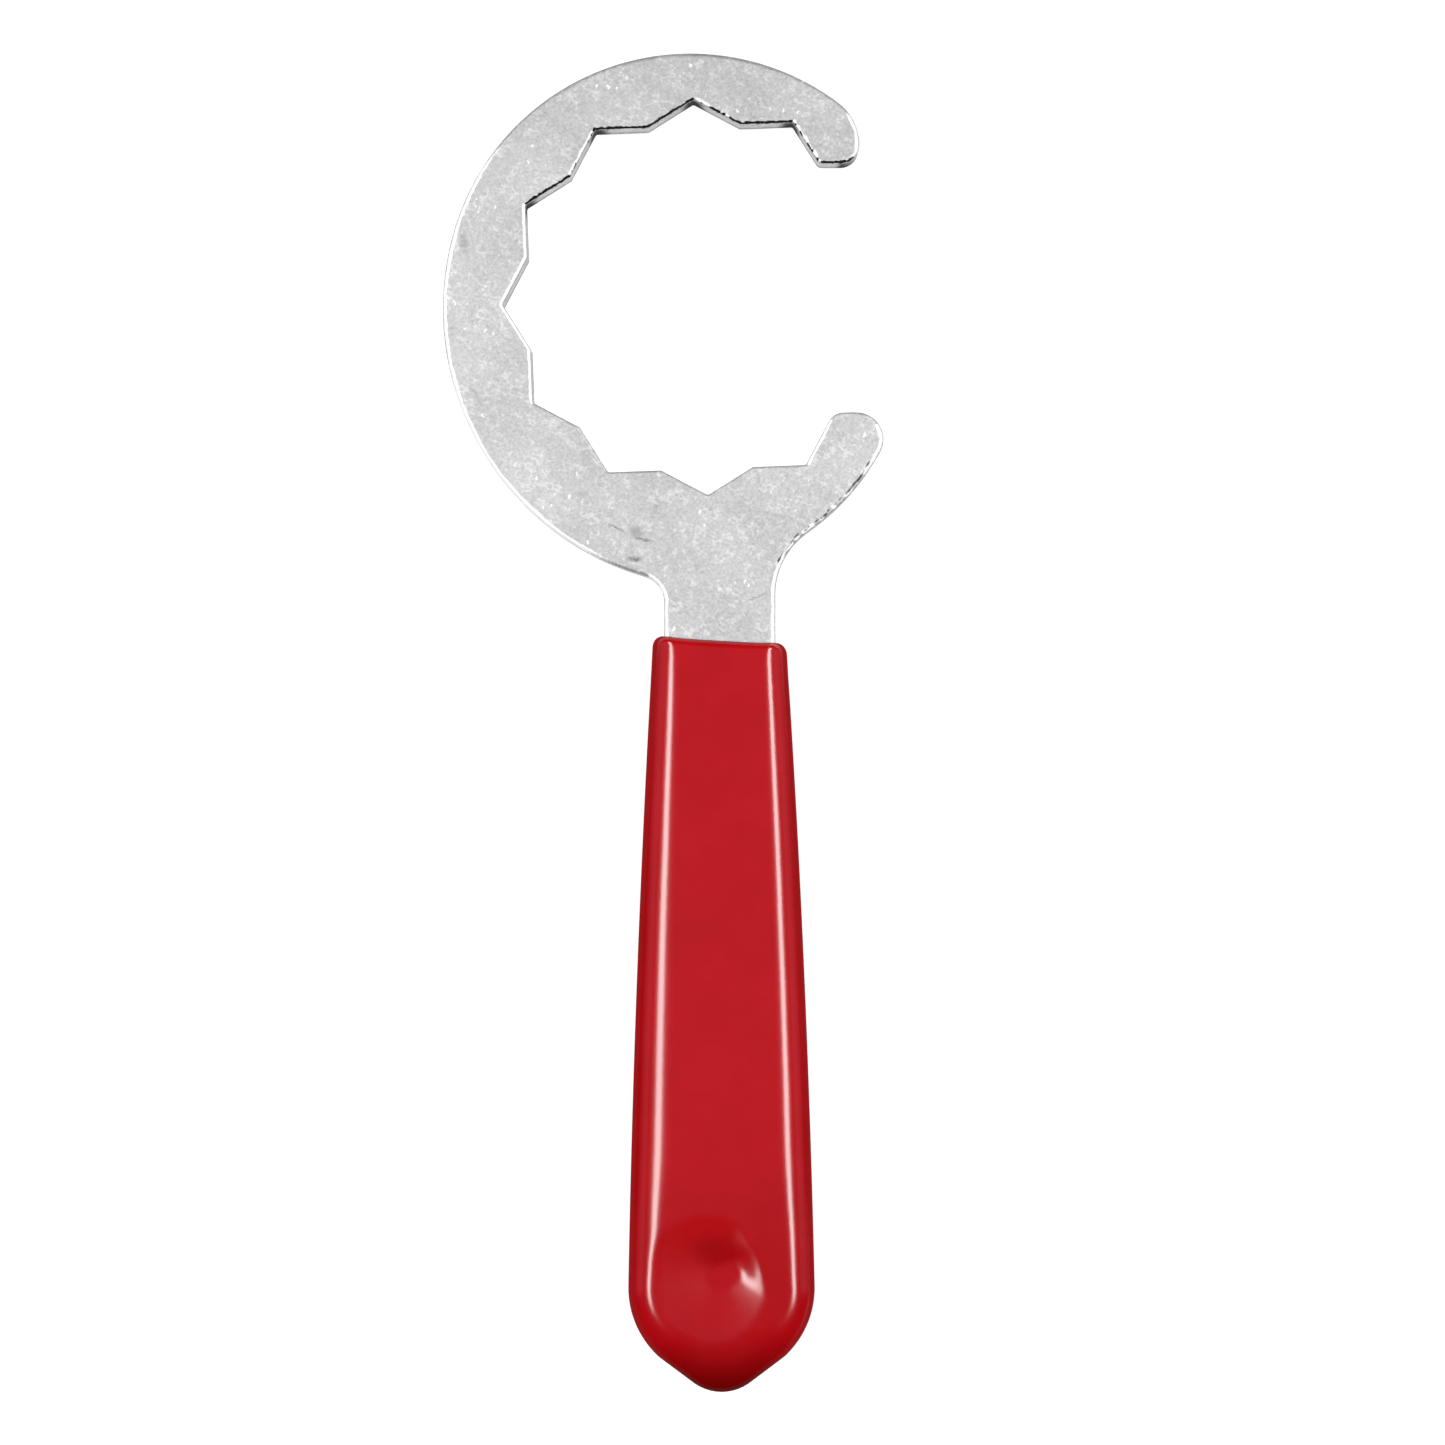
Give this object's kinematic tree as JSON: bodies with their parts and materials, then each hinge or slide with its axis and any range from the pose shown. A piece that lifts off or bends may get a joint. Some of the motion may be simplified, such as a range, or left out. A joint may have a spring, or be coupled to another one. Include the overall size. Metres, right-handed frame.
{
  "type": "open-jaw plate wrench",
  "caption": "Flat steel wrench with a C-shaped twelve-point jaw, open at one side, and a red dipped vinyl grip with a drip tip.",
  "frame": {"origin": "axis of the nut that the jaw turns, at the plate's mid thickness", "axes": "+Z out of the plate's face along the nut's axis, the handle along -Y, the jaw's mouth towards +X"},
  "size_m": [0.079, 0.2406, 0.008],
  "materials": {
    "plated_steel": "satin",
    "red_vinyl": "gloss"
  },
  "bodies": {
    "root": {"wrench_plate": "plated_steel", "dipped_grip": "red_vinyl"}
  },
  "joints": []
}
